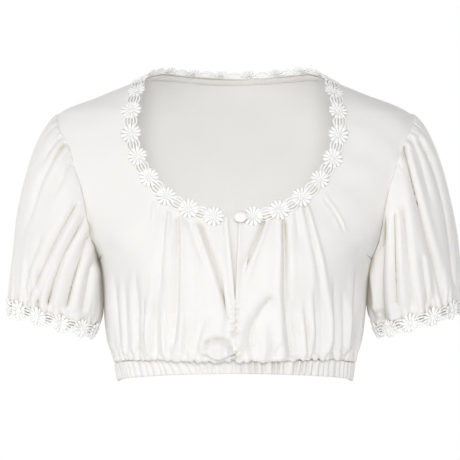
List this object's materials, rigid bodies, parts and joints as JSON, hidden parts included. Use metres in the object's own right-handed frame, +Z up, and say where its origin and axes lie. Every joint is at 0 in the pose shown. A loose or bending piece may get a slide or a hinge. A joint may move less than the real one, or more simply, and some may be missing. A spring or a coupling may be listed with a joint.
{
  "type": "dirndl blouse",
  "caption": "Cropped jersey dirndl blouse with a round neck, puff sleeves, daisy lace trims and a ribbed elastic band, shaped as worn.",
  "frame": {"origin": "middle of the line between the two neck points, level with them, where the shoulders of a wearer hold the blouse", "axes": "+X to the wearer's left, +Y from the front to the back, +Z up"},
  "size_m": [0.5084, 0.2294, 0.3539],
  "materials": {
    "jersey": "matte",
    "elastic_casing": "matte",
    "lace_thread": "satin",
    "covered_button": "satin"
  },
  "bodies": {
    "root": {"front_right": "jersey", "front_left": "jersey", "back": "jersey", "sleeve_right": "jersey", "sleeve_left": "jersey", "slit_underlap": "jersey", "waistband": "elastic_casing", "neck_binding": "elastic_casing", "neck_lace_right": "lace_thread", "neck_lace_left": "lace_thread", "neck_lace_back": "lace_thread", "cuff_lace_right": "lace_thread", "cuff_lace_left": "lace_thread", "neck_button": "covered_button", "seam_button": "covered_button"}
  },
  "joints": []
}
